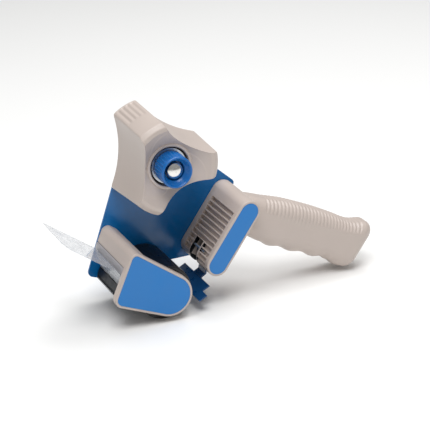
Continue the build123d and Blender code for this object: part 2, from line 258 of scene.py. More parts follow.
def slab(outline, low, high):
    """Skin of an outline between two heights above the plate."""
    return skin([lift(outline, low), lift(outline, high)])


def turned(profile, centre, count=96):
    """Ring turned about a line square to the plate, from a closed profile of radius and height."""
    rings = []
    for step in range(count):
        angle = FULL_TURN * step / count
        rings.append([(centre[0] + r * math.cos(angle), centre[1] + r * math.sin(angle), z)
                      for r, z in profile])
    return skin(rings, looped=True)


def shape(name, shell):
    """Object in the frame from a skin drawn in millimetres on the plate."""
    mesh = bpy.data.meshes.new(name)
    shell.transform(STAND)
    bmesh.ops.recalc_face_normals(shell, faces=shell.faces)
    shell.to_mesh(mesh)
    shell.free()
    made = bpy.data.objects.new(name, mesh)
    bpy.context.scene.collection.objects.link(made)
    return made


def settle(made):
    """Applies an object's modifiers to its mesh."""
    evaluated = made.evaluated_get(bpy.context.evaluated_depsgraph_get())
    mesh = bpy.data.meshes.new_from_object(evaluated)
    old = made.data
    made.modifiers.clear()
    made.data = mesh
    bpy.data.meshes.remove(old)


def combine(made, others, operation):
    """Joins other shapes to an object, or cuts them out of it, and uses them up."""
    for other in others:
        modifier = made.modifiers.new(operation, "BOOLEAN")
        modifier.operation = operation
        modifier.solver = "EXACT"
        modifier.object = other
    settle(made)
    for other in others:
        bpy.data.objects.remove(other)


def soften(made, width, segments=2, angle=35.0):
    """Rounds an object's sharp edges, with the width in millimetres."""
    modifier = made.modifiers.new("edges", "BEVEL")
    modifier.width = width * MM
    modifier.segments = segments
    modifier.limit_method = "ANGLE"
    modifier.angle_limit = angle * DEGREE
    modifier.harden_normals = False
    settle(made)


def shade(made, angle=32.0):
    """Smooth shading with creases at edges sharper than an angle."""
    shell = bmesh.new()
    shell.from_mesh(made.data)
    bmesh.ops.remove_doubles(shell, verts=shell.verts, dist=1e-7)
    bmesh.ops.dissolve_degenerate(shell, edges=shell.edges, dist=1e-7)
    for face in shell.faces:
        face.smooth = True
    for edge in shell.edges:
        edge.smooth = len(edge.link_faces) == 2 and edge.calc_face_angle(0.0) < angle * DEGREE
    shell.to_mesh(made.data)
    shell.free()
    weighted = made.modifiers.new("normals", "WEIGHTED_NORMAL")
    weighted.keep_sharp = True
    settle(made)


def finish_piece(made, body, slot, stands_for, finishes=None):
    """Gives a piece its materials, by default its slot's finish, puts it on its body and hides the CAD
    nodes it stands for.
    """
    made.data.materials.clear()
    for finish in finishes or [FINISHES[slot]]:
        made.data.materials.append(finish)
    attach(made, body)
    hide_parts(*stands_for)


def on_block(across, along):
    """Point on the handle block, from distances across and along it."""
    lean = BLOCK_LEAN * DEGREE
    return (across * math.sin(lean) + along * math.cos(lean),
            -across * math.cos(lean) + along * math.sin(lean))


def block_box(across, along, low, high):
    """Box lined up with the handle block."""
    corners = [on_block(across[0], along[0]), on_block(across[1], along[0]),
               on_block(across[1], along[1]), on_block(across[0], along[1])]
    return slab(corners, low, high)


def rounded_front(circles, front, edge, rim):
    """Rings of a rounded front edge, the rim inside it and the sunk seat of a panel."""
    rings = [lift(band(circles), front - edge)]
    for turn in (30.0, 60.0, 90.0):
        inset = edge * (1.0 - math.cos(turn * DEGREE))
        rings.append(lift(band(circles, inset), front - edge + edge * math.sin(turn * DEGREE)))
    for inset, sink in ((rim - SEAT_EDGE, 0.0), (rim, SEAT_EDGE), (rim, SEAT_DEPTH)):
        rings.append(lift(band(circles, inset), front - sink))
    return rings


def inlaid_panel(name, circles, front, rim, stands_for):
    """The blue panel that lies in the seat, with a hairline gap round it."""
    rings = [lift(band(circles, rim + gap), front - sink)
             for gap, sink in ((0.05, SEAT_DEPTH), (0.05, 0.25), (0.2, 0.1))]
    panel = shape(name, skin(rings))
    shade(panel, 30.0)
    finish_piece(panel, "frame", "blue_panel", [stands_for])


# ---- Finishes ----
def node(tree, kind, sockets=None, **settings):
    """Adds one shader node. sockets maps an input to a value or to another node's output."""
    made = tree.nodes.new(kind)
    for name, value in settings.items():
        setattr(made, name, value)
    for socket, value in (sockets or {}).items():
        if isinstance(value, bpy.types.NodeSocket):
            tree.links.new(value, made.inputs[socket])
        else:
            made.inputs[socket].default_value = value
    return made


def blank(name, values=None):
    """New material with only its Principled shader, and the values of that shader's inputs."""
    material = bpy.data.materials.new(name)
    material.use_nodes = True
    tree = material.node_tree
    shader = tree.nodes["Principled BSDF"]
    for socket, value in (values or {}).items():
        shader.inputs[socket].default_value = value
    return material, tree, shader


def per_metre(millimetres):
    """Texture scale whose features are about this many millimetres apart."""
    return 1.0 / (millimetres * MM)


def scaled(rgb, factor):
    """A colour made lighter or darker."""
    return (*[min(1.0, channel * factor) for channel in rgb], 1.0)


def noise_over(tree, spacing, detail, stretch=(1.0, 1.0, 1.0)):
    """Noise whose features are so many millimetres apart, stretched along the frame's axes."""
    place = node(tree, "ShaderNodeTexCoord")
    mapping = node(tree, "ShaderNodeMapping", {"Vector": place.outputs["Object"], "Scale": stretch})
    return node(tree, "ShaderNodeTexNoise", {"Vector": mapping.outputs["Vector"],
                                             "Scale": per_metre(spacing), "Detail": detail})


def relief(tree, shader, noise, depth):
    """Relief of a surface from a noise and its real depth in millimetres."""
    bump = node(tree, "ShaderNodeBump", {"Height": noise.outputs["Fac"], "Strength": 1.0,
                                         "Distance": depth * MM})
    tree.links.new(bump.outputs["Normal"], shader.inputs["Normal"])


def mottle(tree, shader, rgb, spacing, spread):
    """Base colour that drifts a little lighter and darker over the surface."""
    noise = noise_over(tree, spacing, 4.0)
    mix = node(tree, "ShaderNodeMix", {0: noise.outputs["Fac"], 6: scaled(rgb, 1.0 - spread),
                                       7: scaled(rgb, 1.0 + spread)}, data_type="RGBA")
    tree.links.new(mix.outputs[2], shader.inputs["Base Color"])
    return noise


def vary(tree, socket, noise, low, high):
    """A shader input that follows a noise between two values."""
    ramp = node(tree, "ShaderNodeMapRange", {"Value": noise.outputs["Fac"], "From Min": 0.3,
                                             "From Max": 0.7, "To Min": low, "To Max": high})
    tree.links.new(ramp.outputs["Result"], socket)


def surface(name, rgb, values, clouds, roughness, grain=None):
    """A finish from its shader's constants, the spacing and spread of its colour's drift, its
    lowest and highest roughness, and the spacing and depth of its grain, in millimetres."""
    material, tree, shader = blank(name, values)
    noise = mottle(tree, shader, rgb, *clouds)
    vary(tree, shader.inputs["Roughness"], noise, *roughness)
    if grain:
        spacing, depth, detail = grain
        relief(tree, shader, noise_over(tree, spacing, detail), depth)
    return material, tree, shader, noise


def abs_moulded(name, rgb, low=0.31, high=0.42):
    """ABS, injection moulded in a spark-eroded tool: satin, with a fine even grain.
    The real grain is about 0.1 mm; it is drawn at 0.7 mm so that it shows."""
    return surface(name, rgb, {"IOR": 1.54}, (22.0, 0.035), (low, high), (0.7, 0.012, 2.0))[0]


def steel_stove_enamel(name, rgb, low=0.11, high=0.25):
    """Mild steel sheet, stove enamelled: glossy, with the slight orange peel of sprayed enamel,
    whose ripples are about 2.5 mm apart."""
    return surface(name, rgb, {"IOR": 1.5}, (9.0, 0.08), (low, high), (2.5, 0.012, 1.0))[0]


def panel_film(name, rgb):
    """Polycarbonate overlay film, screen printed on its back: satin, with a velvet grain of
    about 0.2 mm, drawn at 1 mm so that it shows."""
    return surface(name, rgb, {"IOR": 1.58}, (14.0, 0.05), (0.36, 0.5), (1.0, 0.01, 2.0))[0]


def steel_zinc_plated(name, rgb, low=0.22, high=0.42):
    """Steel, turned or pressed, then bright zinc plated: a cool grey metal with a faint cloudy
    passivation, its clouds about 3 mm across."""
    return surface(name, rgb, {"Metallic": 1.0}, (3.0, 0.12), (low, high), (0.6, 0.006, 2.0))[0]


def rubber_ground(name, rgb):
    """Neoprene rubber, ground round and wiped by tape: deep black with a soft gloss, and
    grinding marks about 0.8 mm apart along the roller."""
    material, tree, shader, _ = surface(name, rgb, {"IOR": 1.52}, (5.0, 0.3), (0.26, 0.42))
    relief(tree, shader, noise_over(tree, 0.8, 2.0, (0.15, 1.0, 0.15)), 0.01)
    return material


def steel_near_black(name, rgb):
    """High-carbon strip steel, hardened, near-black: dark, slightly oily satin."""
    return surface(name, rgb, {"Metallic": 0.6}, (4.0, 0.2), (0.28, 0.45), (0.8, 0.006, 2.0))[0]


def pet_clear(name, tint):
    """PET sheet, extruded and clear: glossy and faintly milky, with scuffs about 6 mm apart."""
    material, tree, shader, noise = surface(name, tint, {"IOR": 1.57}, (6.0, 0.06), (0.06, 0.16))
    vary(tree, shader.inputs["Alpha"], noise, 0.3, 0.55)
    return material


def felt_pressed(name, rgb):
    """Wool felt, pressed: matt and fuzzy, with fibres about 0.5 mm apart."""
    return surface(name, rgb, {"Sheen Weight": 0.4}, (0.5, 0.25), (0.95, 0.95), (0.5, 0.1, 2.0))[0]


FINISHES = {}


def make_finishes(colours):
    """All the finishes of the dispenser, by material slot."""
    FINISHES.update({
        "beige_abs": abs_moulded("abs_moulded_beige", colours.beige),
        "grey_abs": abs_moulded("abs_moulded_grey", colours.grey),
        "blue_abs": abs_moulded("abs_moulded_blue", colours.knob_blue, 0.27, 0.38),
        "blue_steel": steel_stove_enamel("steel_stove_enamel_blue", colours.plate_blue),
        "navy_steel": steel_stove_enamel("steel_stove_enamel_navy", colours.navy, 0.24, 0.38),
        "blue_panel": panel_film("polycarbonate_film_blue", colours.panel_blue),
        "zinc_steel": steel_zinc_plated("steel_zinc_plated", linear("#B9BDC2")[:3]),
        "spring_steel": steel_zinc_plated("spring_steel_drawn", linear("#9C9EA3")[:3], 0.17, 0.37),
        "bright_wire": steel_zinc_plated("steel_wire_bright", linear("#DADCDF")[:3], 0.34, 0.54),
        "chrome": steel_zinc_plated("steel_nickel_plated", linear("#E8E6E2")[:3], 0.08, 0.28),
        "white_nylon": abs_moulded("nylon_moulded_white", linear("#E9E6DE")[:3], 0.35, 0.46),
        "felt": felt_pressed("wool_felt_grey", linear("#5A5856")[:3]),
        "brass": steel_zinc_plated("brass_turned", linear("#C9A55A")[:3], 0.2, 0.4),
        "black_rubber": rubber_ground("neoprene_ground_black", colours.rubber),
        # The near-black blade finish; the handle also uses it as painted shade inside the spring recess.
        "blade_steel": steel_near_black("steel_near_black_blade_and_recess_shade", linear("#1B1F26")[:3]),
        "clear_pet": pet_clear("pet_sheet_clear", linear("#BFC3CA")[:3]),
    })


# ---- Side plate ----
PLATE_CORNERS = [(0.0, 0.0, 17.0), (65.9, -37.9, 3.4), (33.5, -86.9, 3.4), (-42.4, -90.4, 4.0)]
PLATE_HOLES = [((0.0, 0.0), 4.0), (ROLLER, 3.0)]
PLATE_THICK = 1.5
ROLLER_LOBE = 12.5


class DISPENSER_OT_side_plate(bpy.types.Operator):
    """Build the enamelled side plate"""
    bl_idname = "dispenser.side_plate"
    bl_label = "Side plate"

    def execute(self, context):
        outline = band(PLATE_CORNERS)
        plate = shape("side_plate_sheet", slab(outline, -PLATE_THICK, 0.0))
        lobe = band([PLATE_CORNERS[3], (*ROLLER, ROLLER_LOBE)])
        combine(plate, [shape("lobe", slab(lobe, -PLATE_THICK, 0.0))], "UNION")
        cutters = []
        for centre, radius in PLATE_HOLES:
            edge = arc(centre, radius, 0.0, 360.0, 48)[:-1]
            cutters.append(shape("hole", slab(edge, -3.0, 3.0)))
        combine(plate, cutters, "DIFFERENCE")
        soften(plate, 0.3)
        shade(plate)
        finish_piece(plate, "frame", "blue_steel", ["side_plate"])
        return {"FINISHED"}


# ---- Tape hub ----
LOBE_ANGLE = 116.9
LOBE_HALF = 14.5
HUB_BACK = 1.5
HUB_FRONT = 51.7
WALL = 2.2
LIP_ROUND = 0.5
BACK_ROUND = 0.36
TIP_STEPS = 56
HOLLOW_STEPS = 72

# The front is a dish, a flat rim and a bevel, blended into each other, round the knob's pocket.
POCKET_EDGE = 16.7
DISH_FLOOR = 44.4
DISH_START = 16.6
DISH_RIM = 29.0
BEVEL_START = 31.8
BEVEL_FALL = 0.9
BLEND_SHARPNESS = 9.0
FRONT_RANKS = 36

# The shallow step that curves across the front of each lobe.
SWIRL_CENTRE = Vector((9.0, -8.0))
SWIRL_RADIUS = 16.5
SWIRL_TURN = 3.1
SWIRL_DEPTH = 0.28
SWIRL_WIDTH = 0.8
SWIRL_END = 29.5

# Height and depth of the fine line near the back, and the span of the grooves on the tips.
LINE_HEIGHT = 2.9
LINE_DEPTH = 0.35
LINE_HALF_WIDTH = 0.35
GROOVE_SPAN = (3.2, 27.5)

# Radius and height of the knob's pocket, the bush seat, the boss and the cavity round it.
POCKET = [(16.55, 44.75), (16.35, 45.0), (16.0, 45.1), (15.1, 45.1), (14.7, 44.95), (14.5, 44.6),
          (14.5, 37.0), (14.5, 30.2), (14.3, 30.0), (9.0, 30.0), (4.7, 30.0), (4.6, 29.8),
          (4.6, 27.6), (6.0, 27.5), (6.0, 1.6), (6.1, 1.5), (8.0, 1.5), (8.0, 27.4), (16.7, 27.5),
          (16.7, 41.0)]


def lobe_outline(tip, half, floor, rounding):
    """Three-lobed outline with evenly placed points: round tips, hollows between, softened corners."""
    reach = math.cos((60.0 - half) * DEGREE) * tip
    middle = (tip * tip - floor * floor) / (2.0 * (reach - floor))
    radius = middle - floor
    spread = math.degrees(math.asin(tip * math.sin((60.0 - half) * DEGREE) / radius))
    points = []
    for lobe in range(3):
        aim = LOBE_ANGLE + 120.0 * lobe
        points += arc((0.0, 0.0), tip, aim - half, aim + half, TIP_STEPS)[:-1]
        turn = aim + 60.0
        centre = (middle * math.cos(turn * DEGREE), middle * math.sin(turn * DEGREE))
        points += arc(centre, radius, turn + 180.0 + spread, turn + 180.0 - spread, HOLLOW_STEPS)[:-1]
    for _ in range(int(rounding * 10)):
        points = [((points[i - 1][0] + 2.0 * points[i][0] + points[(i + 1) % len(points)][0]) / 4.0,
                   (points[i - 1][1] + 2.0 * points[i][1] + points[(i + 1) % len(points)][1]) / 4.0)
                  for i in range(len(points))]
    return points


def hub_top(radius):
    """Height of the hub's front at a radius: a dish, a flat rim and a bevel down the lobe tips."""
    dish = DISH_FLOOR + (radius - DISH_START) * (HUB_FRONT - DISH_FLOOR) / (DISH_RIM - DISH_START)
    bevel = HUB_FRONT - (radius - BEVEL_START) * BEVEL_FALL
    heights = (dish, HUB_FRONT, bevel)
    return -math.log(sum(math.exp(-h * BLEND_SHARPNESS) for h in heights)) / BLEND_SHARPNESS


def swirl(spot):
    """Depth of the shallow curved step that crosses the hub's front on each lobe."""
    lobe = round((math.degrees(math.atan2(spot.y, spot.x)) - LOBE_ANGLE) / 120.0)
    turn = Matrix.Rotation(-(LOBE_ANGLE + 120.0 * lobe + SWIRL_TURN) * DEGREE, 2)
    share = clamp(((turn @ spot - SWIRL_CENTRE).length - SWIRL_RADIUS) / SWIRL_WIDTH + 0.5)
    return SWIRL_DEPTH * ease(share * clamp((SWIRL_END - spot.length) / 2.0))


def tip_groove(step, height, settings):
    """Depth of the grooves along a lobe tip, at a point of the outline and a height."""
    place = (step % (TIP_STEPS + HOLLOW_STEPS)) / TIP_STEPS
    if place >= 1.0 or settings.grooves == 0:
        return 0.0
    across = place * (settings.grooves + 1) - 0.5
    if not 0.0 < across < settings.grooves:
        return 0.0
    wave = math.sin(math.pi * (across % 1.0)) ** 2
    ends = clamp((height - GROOVE_SPAN[0]) / 0.8) * clamp((GROOVE_SPAN[1] - height) / 2.5)
    return settings.groove_depth / MM * wave * ends


def lip_groove(height):
    """Depth of the fine line that sets off the lip at the back of the hub."""
    return LINE_DEPTH * clamp(1.0 - abs(height - LINE_HEIGHT) / LINE_HALF_WIDTH)


class DISPENSER_OT_hub(bpy.types.Operator):
    """Build the three-lobed tape hub"""
    bl_idname = "dispenser.hub"
    bl_label = "Tape hub"

    def execute(self, context):
        settings = context.scene.dispenser_hub
        core, front = settings.core_radius / MM, settings.front_radius / MM
        floor, rounding = settings.hollow_radius / MM, settings.edge_round / MM
        front_floor = settings.hollow_front / MM
        back = lobe_outline(core, LOBE_HALF, floor, rounding)
        fore = lobe_outline(front, LOBE_HALF + 1.2, front_floor, 0.5 * rounding)
        back_inside = lobe_outline(core - WALL, LOBE_HALF - 3.0, floor - WALL, rounding)
        fore_inside = lobe_outline(front - WALL, LOBE_HALF - 2.0, 17.1, rounding)
        heights = [1.5, 1.62, 1.85, 2.2, 2.55, 2.72, 2.9, 3.08, 3.25, 3.6, 4.0, 4.5]
        heights += [5.5 + 1.5 * step for step in range(13)]
        heights += [25.2, 26.0, 26.8, 27.6, 28.4]
        sections = [self.section(step, back, fore, back_inside, fore_inside, heights, settings)
                    for step in range(len(back))]
        hub = shape("tape_hub", skin(sections, looped=True))
        shade(hub, 40.0)
        finish_piece(hub, "hub", "beige_abs", ["reel_hub"])
        return {"FINISHED"}

    def section(self, step, back, fore, back_inside, fore_inside, heights, settings):
        """One slice of the hub, from its back edge up the wall, over the dish and down inside."""
        def wall(height, near, far):
            share = (height - HUB_BACK) / (HUB_FRONT - HUB_BACK)
            return Vector(near[step]).lerp(Vector(far[step]), share)

        top = HUB_FRONT
        for _ in range(8):
            top = hub_top(wall(top, back, fore).length)
        rows = []
        edge = LIP_ROUND
        rising = list(heights)
        for left in range(14, 0, -1):
            rising.append(rising[-1] + (top - edge - rising[-1]) / left)
        for height in rising:
            spot = wall(height, back, fore)
            sink = tip_groove(step, height, settings) + lip_groove(height)
            sink += max(0.0, BACK_ROUND - (height - HUB_BACK)) * 0.6
            rows.append((spot.normalized() * (spot.length - sink), height))
        corner = wall(top, back, fore)
        under = wall(top - edge, back, fore)
        inward = corner.normalized() * (corner.length - edge)
        ends = ((under, top - edge), (corner, top), (inward, hub_top(inward.length)))
        for share in (0.2, 0.4, 0.6, 0.8):
            spot = ends[0][0].lerp(ends[1][0], share).lerp(ends[1][0].lerp(ends[2][0], share), share)
            height = ((1 - share) ** 2 * ends[0][1] + 2 * share * (1 - share) * ends[1][1]
                      + share ** 2 * ends[2][1])
            rows.append((spot, height))
        way = corner.normalized()
        outer = inward.length
        for rank in range(FRONT_RANKS + 1):
            radius = outer + (POCKET_EDGE - outer) * rank / FRONT_RANKS
            rows.append((way * radius, hub_top(radius) - swirl(way * radius)))
        rows += [(way * radius, height) for radius, height in POCKET]
        for height in (41.0, 30.0, 16.0, 3.0, 1.6):
            rows.append((wall(height, back_inside, fore_inside), height))
        return [(spot.x, spot.y, height) for spot, height in rows]


# ---- Tension knob ----
FLUTE_STEPS = 10
FLUTE_DEPTH = 0.5


class DISPENSER_OT_knob(bpy.types.Operator):
    """Build the fluted tension knob"""
    bl_idname = "dispenser.knob"
    bl_label = "Tension knob"

    def execute(self, context):
        settings = context.scene.dispenser_hub
        radius = settings.knob_radius / MM
        profile = [(5.7, 43.2, 0.0), (10.6, 43.2, 0.0), (11.1, 43.4, 0.4), (radius - 0.15, 43.9, 1.0),
                   (radius, 44.6, 1.0), (radius, 50.0, 1.0), (radius, 56.2, 1.0), (radius, 56.9, 0.6),
                   (radius, 57.4, 0.15), (radius - 0.06, 57.9, 0.0), (radius - 0.3, 58.35, 0.0),
                   (radius - 0.6, 58.65, 0.0), (radius - 0.9, 58.75, 0.0), (10.4, 58.74, 0.0),
                   (10.15, 58.6, 0.0), (9.95, 58.2, 0.0), (9.5, 57.0, 0.0), (8.8, 55.6, 0.0),
                   (8.25, 54.7, 0.0), (7.9, 54.3, 0.0), (7.5, 54.0, 0.0), (7.2, 53.5, 0.0),
                   (7.2, 49.4, 0.0), (7.0, 49.2, 0.0), (5.7, 49.2, 0.0)]
        around = settings.flutes * FLUTE_STEPS
        sections = []
        for step in range(around):
            angle = FULL_TURN * step / around
            dip = FLUTE_DEPTH * (0.5 + 0.5 * math.cos(settings.flutes * angle)) ** 2.0
            sections.append([((r - dip * share) * math.cos(angle), (r - dip * share) * math.sin(angle), z)
                             for r, z, share in profile])
        knob = shape("knob", skin(sections, looped=True))
        shade(knob, 45.0)
        finish_piece(knob, "knob", "blue_abs", ["tension_knob"])
        return {"FINISHED"}


# ---- Roller, cover, blade and flap ----
COVER_CORNERS = [(-31.2, -60.6, 4.9), (-40.8, -88.9, 6.5), (-4.9, -92.3, 16.0)]
CARRIER = [(-39.6, -67.0), (-40.9, -71.0), (-37.0, -86.4), (-39.3, -92.5), (-36.4, -93.4),
           (-32.4, -86.6), (-33.6, -76.0), (-36.6, -67.0)]
BLADE_TOP = Vector((-37.0, -86.4))
BLADE_DOWN = Vector((-0.354, -0.935))
BLADE_OUT = Vector((-0.935, 0.354))
BLADE_LENGTH = 9.3
BLADE_ENDS = (1.0, 52.0)
TEETH = (1.3, 51.7)
TOOTH_ROOM = 0.25
COVER_THICK = 2.5
COVER_WALL = 2.0
BRIDGE_ARC = (55.3, 158.2)
BRIDGE_RUNS = (5.4, 8.2)


class DISPENSER_OT_roller(bpy.types.Operator):
    """Build the rubber tyre of the roller"""
    bl_idname = "dispenser.roller"
    bl_label = "Roller tyre"

    def execute(self, context):
        profile = [(14.0, 2.5), (19.0, 2.5), (19.6, 2.68), (19.9, 3.05), (20.0, 3.6), (20.0, 15.0),
                   (20.0, 26.0), (20.0, 38.0), (20.0, 48.9), (19.9, 49.45), (19.6, 49.82), (19.0, 50.0),
                   (14.0, 50.0)]
        tyre = shape("tyre", turned(profile, ROLLER, 128))
        shade(tyre, 40.0)
        finish_piece(tyre, "roller", "black_rubber", ["roller_tyre"])
        return {"FINISHED"}


class DISPENSER_OT_cover(bpy.types.Operator):
    """Build the roller cover and its blue panel"""
    bl_idname = "dispenser.cover"
    bl_label = "Roller cover"

    def execute(self, context):
        settings = context.scene.dispenser_cover
        front, rim, edge = settings.front / MM, settings.rim / MM, settings.edge / MM
        inner = front - COVER_THICK
        step = inner - COVER_THICK
        rings = [lift(band(COVER_CORNERS, inset), height)
                 for inset, height in ((COVER_WALL, inner), (COVER_WALL, step), (0.0, step))]
        rings += rounded_front(COVER_CORNERS, front, edge, rim)
        cover = shape("cover", skin(rings))
        combine(cover, [self.bridge(inner + 0.5)], "UNION")
        bosses = [turned([(3.0, 52.0), (5.5, 52.0), (5.5, inner + 0.5), (3.0, inner + 0.5)], ROLLER, 48),
                  turned([(1.5, 0.0), (3.2, 0.0), (3.2, 12.0), (1.5, 12.0)], COVER_SCREW, 32)]
        combine(cover, [shape("boss", boss) for boss in bosses], "UNION")
        shade(cover, 40.0)
        finish_piece(cover, "frame", "beige_abs", ["roller_cover"])
        inlaid_panel("cover_panel", COVER_CORNERS, front, rim, "cover_inlay")
        return {"FINISHED"}

    def bridge(self, high):
        """The wall that runs back to the plate round the cover's upper corner."""
        x, y, radius = COVER_CORNERS[0]
        sides = []
        for inset in (0.0, COVER_WALL):
            side = arc((x, y), radius - inset, BRIDGE_ARC[0], BRIDGE_ARC[1], 20)
            ends = ((0, side[0], BRIDGE_ARC[0] - 90.0, BRIDGE_RUNS[0]),
                    (len(side) + 1, side[-1], BRIDGE_ARC[1] + 90.0, BRIDGE_RUNS[1]))
            for place, end, turn, run in ends:
                side.insert(place, (end[0] + run * math.cos(turn * DEGREE),
                                    end[1] + run * math.sin(turn * DEGREE)))
            sides.append(side)
        outline = sides[0] + sides[1][::-1]
        return shape("bridge", slab(outline, 0.0, high))


class DISPENSER_OT_blade(bpy.types.Operator):
    """Build the toothed blade and its carrier"""
    bl_idname = "dispenser.blade"
    bl_label = "Blade"

    def execute(self, context):
        pitch = context.scene.dispenser_cover.tooth_pitch / MM
        count = int((TEETH[1] - TEETH[0]) / pitch)
        rings = []
        for out, root, tip in ((0.05, 6.5, BLADE_LENGTH), (0.35, 6.4, 9.2), (0.85, 5.9, 7.9)):
            edge = [(BLADE_ENDS[0], 0.4), (BLADE_ENDS[0], root + 0.5)]
            for tooth in range(count + 1):
                middle = TEETH[0] + tooth * pitch
                edge += [(middle - TOOTH_ROOM, root), (middle + TOOTH_ROOM, root)]
                if tooth < count:
                    edge.append((middle + pitch / 2.0, tip))
            edge += [(BLADE_ENDS[1], root + 0.5), (BLADE_ENDS[1], 0.4)]
            rings.append([(*(BLADE_TOP + BLADE_DOWN * down + BLADE_OUT * out), z) for z, down in edge])
        blade = shape("toothed_blade", skin(rings))
        finish_piece(blade, "frame", "blade_steel", ["blade"])
        carrier = shape("carrier", slab(CARRIER, 0.0, 53.0))
        soften(carrier, 0.4)
        shade(carrier)
        finish_piece(carrier, "frame", "grey_abs", ["blade_carrier"])
        return {"FINISHED"}


FLAP_FOOT = Vector((-37.6, -85.6))
FLAP_BEND = Vector((-41.35, -70.85))
FLAP_DIRECTION = 146.0
FLAP_CREASE = 1.3
FLAP_SIDES = (4.0, 52.0)
FLAP_CORNER = 9.0
FLAP_RUNS = 26
FLAP_COLUMNS = 24


class DISPENSER_OT_flap(bpy.types.Operator):
    """Build the clear flap that holds the tape's end"""
    bl_idname = "dispenser.flap"
    bl_label = "Clear flap"

    def execute(self, context):
        settings = context.scene.dispenser_cover
        thick, length = settings.flap_thickness / MM, settings.flap_length / MM
        away = Vector((math.cos(FLAP_DIRECTION * DEGREE), math.sin(FLAP_DIRECTION * DEGREE)))
        bend = FLAP_BEND
        line = [FLAP_FOOT.lerp(bend, share / 8.0) for share in range(8)]
        start, leave = bend + (FLAP_FOOT - bend).normalized() * FLAP_CREASE, bend + away * FLAP_CREASE
        for step in range(1, 12):
            share = step / 12.0
            line.append(start.lerp(bend, share).lerp(bend.lerp(leave, share), share))
        for step in range(FLAP_RUNS + 1):
            line.append(leave + away * (length - FLAP_CREASE - 0.6) * step / FLAP_RUNS)
        lengths = [0.0]
        for before, here in zip(line, line[1:]):
            lengths.append(lengths[-1] + (here - before).length)
        rings = []
        for step, spot in enumerate(line):
            ahead = line[min(step + 1, len(line) - 1)] - line[max(step - 1, 0)]
            side = Vector((-ahead.y, ahead.x)).normalized() * thick / 2.0
            left = max(0.0, FLAP_CORNER - (lengths[-1] - lengths[step]))
            trim = FLAP_CORNER - math.sqrt(max(0.0, FLAP_CORNER * FLAP_CORNER - left * left))
            reach = FLAP_SIDES[1] - trim - FLAP_SIDES[0]
            across = [FLAP_SIDES[0] + reach * column / FLAP_COLUMNS for column in range(FLAP_COLUMNS + 1)]
            rings.append([(*(spot + side), z) for z in across]
                         + [(*(spot - side), z) for z in reversed(across)])
        flap = shape("flap_sheet", skin(rings))
        shade(flap, 40.0)
        flap.data.materials.clear()
        flap.data.materials.append(FINISHES["clear_pet"])
        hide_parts("clear_flap", "flap_foot")
        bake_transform(flap)
        return {"FINISHED"}


# ---- Handle ----
# Sections square to the grip: distance along it, top, underside, half width and corner radius.
GRIP_SECTIONS = [(-15.0, 14.6, -8.0, 11.2, 8.3), (-9.0, 16.0, -10.3, 11.8, 8.8),
                 (-3.0, 16.6, -12.2, 12.1, 9.1), (4.0, 17.1, -14.0, 12.5, 9.5),
                 (12.0, 18.0, -15.4, 13.1, 10.1), (24.0, 19.0, -16.4, 13.5, 10.5),
                 (44.0, 19.0, -16.4, 13.5, 10.5), (58.0, 18.4, -16.4, 13.5, 10.5),
                 (70.0, 17.4, -16.4, 13.5, 10.5), (79.0, 16.4, -17.2, 13.5, 10.5),
                 (86.0, 16.5, -19.2, 13.4, 10.4), (95.0, 18.9, -19.5, 13.2, 10.2)]
GRIP_END = 102.6
GRIP_ROUND = 7.0
GRIP_SLANT = 0.22
RIB_SPAN = (5.0, 92.0)
RIB_START = 9.0
SCALLOP_SPAN = (14.0, 74.0)
SCALLOP_PITCH = 19.6
QUARTER = 20

# Places across and along the block, and spans of height, all in its own directions.
BLOCK_ENDS = [(73.3, -46.8), (73.3, -2.2)]
BLOCK_EDGE = 1.0
BLOCK_RIM = 1.7
LOUVRES = 12
FULL_LOUVRES = 8
LOUVRE_START = -7.5
LOUVRE_FLOOR = (60.0, 67.4)
LOUVRE_SPAN = (6.5, 44.5)
SPRING_CUTS = {"opening": ((60.0, 69.0), (-52.0, -38.5), 16.8, 28.4),
               "recess": ((68.0, 75.0), (-51.9, -38.6), 16.7, 35.5),
               "slot": ((60.0, 78.0), (-62.0, -44.0), 16.9, 28.3),
               "low_slot": ((69.5, 84.0), (-62.0, -49.5), 17.0, 30.4)}
# Box, across, along and in height, whose faces inside the spring recess get painted shade in the
# near-black blade finish.
RECESS_SHADE_BOX = ((65.9, 79.0), (-58.0, -38.4), (16.7, 35.7))
BAIL_SEAT = (66.6, -44.5)
BAIL_SPAN = (16.9, 35.4)


def grip_section(station):
    """Top, underside, half width and corner of the grip at a distance along it."""
    rows = GRIP_SECTIONS
    station = min(max(station, rows[0][0]), rows[-1][0])
    rank = 0
    while rank < len(rows) - 2 and rows[rank + 1][0] < station:
        rank += 1
    before, start, end, after = (rows[max(rank - 1, 0)], rows[rank], rows[rank + 1],
                                 rows[min(rank + 2, len(rows) - 1)])
    span = end[0] - start[0]
    share = (station - start[0]) / span
    values = []
    for column in range(1, 5):
        leaving = (end[column] - before[column]) / max(end[0] - before[0], 1e-6) * span
        arriving = (after[column] - start[column]) / max(after[0] - start[0], 1e-6) * span
        square, cube = share * share, share ** 3
        values.append((2 * cube - 3 * square + 1) * start[column] + (cube - 2 * square + share) * leaving
                      + (3 * square - 2 * cube) * end[column] + (cube - square) * arriving)
    return values


def bell(value, low, high, soft):
    """One between two limits, easing to nothing over a short distance outside them."""
    return ease(clamp(min(value - low, high - value) / soft + 0.5))


